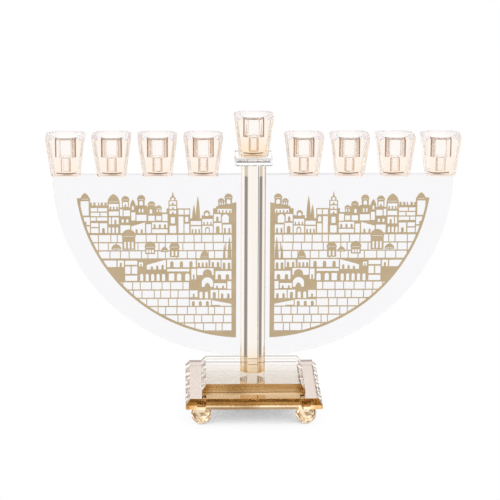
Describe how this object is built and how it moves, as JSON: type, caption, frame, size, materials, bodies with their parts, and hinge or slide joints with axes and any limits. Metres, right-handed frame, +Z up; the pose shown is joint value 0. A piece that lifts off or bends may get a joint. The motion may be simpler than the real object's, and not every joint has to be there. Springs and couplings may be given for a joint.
{
  "type": "menorah",
  "caption": "Crystal festival candle holder: a raised centre cup and a row of square tapered cups on glass quarter discs with a pierced metal city skyline, on a stepped base with ball feet.",
  "frame": {"origin": "on the table under the middle of the base", "axes": "+Z up, +X along the row of cups, +Y to the rear; the city plates face -Y"},
  "size_m": [0.3988, 0.132, 0.2945],
  "materials": {
    "champagne_crystal": "polished",
    "clear_glass": "polished",
    "city_brass": "satin"
  },
  "bodies": {
    "root": {"lower_base_plate": "champagne_crystal", "upper_base_plate": "champagne_crystal", "foot_front_left": "champagne_crystal", "foot_front_right": "champagne_crystal", "foot_back_left": "champagne_crystal", "foot_back_right": "champagne_crystal", "column": "champagne_crystal", "shamash_collar": "clear_glass", "left_panel": "clear_glass", "right_panel": "clear_glass", "left_city_plate": "city_brass", "right_city_plate": "city_brass", "left_cup_1": "champagne_crystal", "left_cup_2": "champagne_crystal", "left_cup_3": "champagne_crystal", "left_cup_4": "champagne_crystal", "right_cup_1": "champagne_crystal", "right_cup_2": "champagne_crystal", "right_cup_3": "champagne_crystal", "right_cup_4": "champagne_crystal", "shamash_cup": "champagne_crystal"}
  },
  "joints": []
}
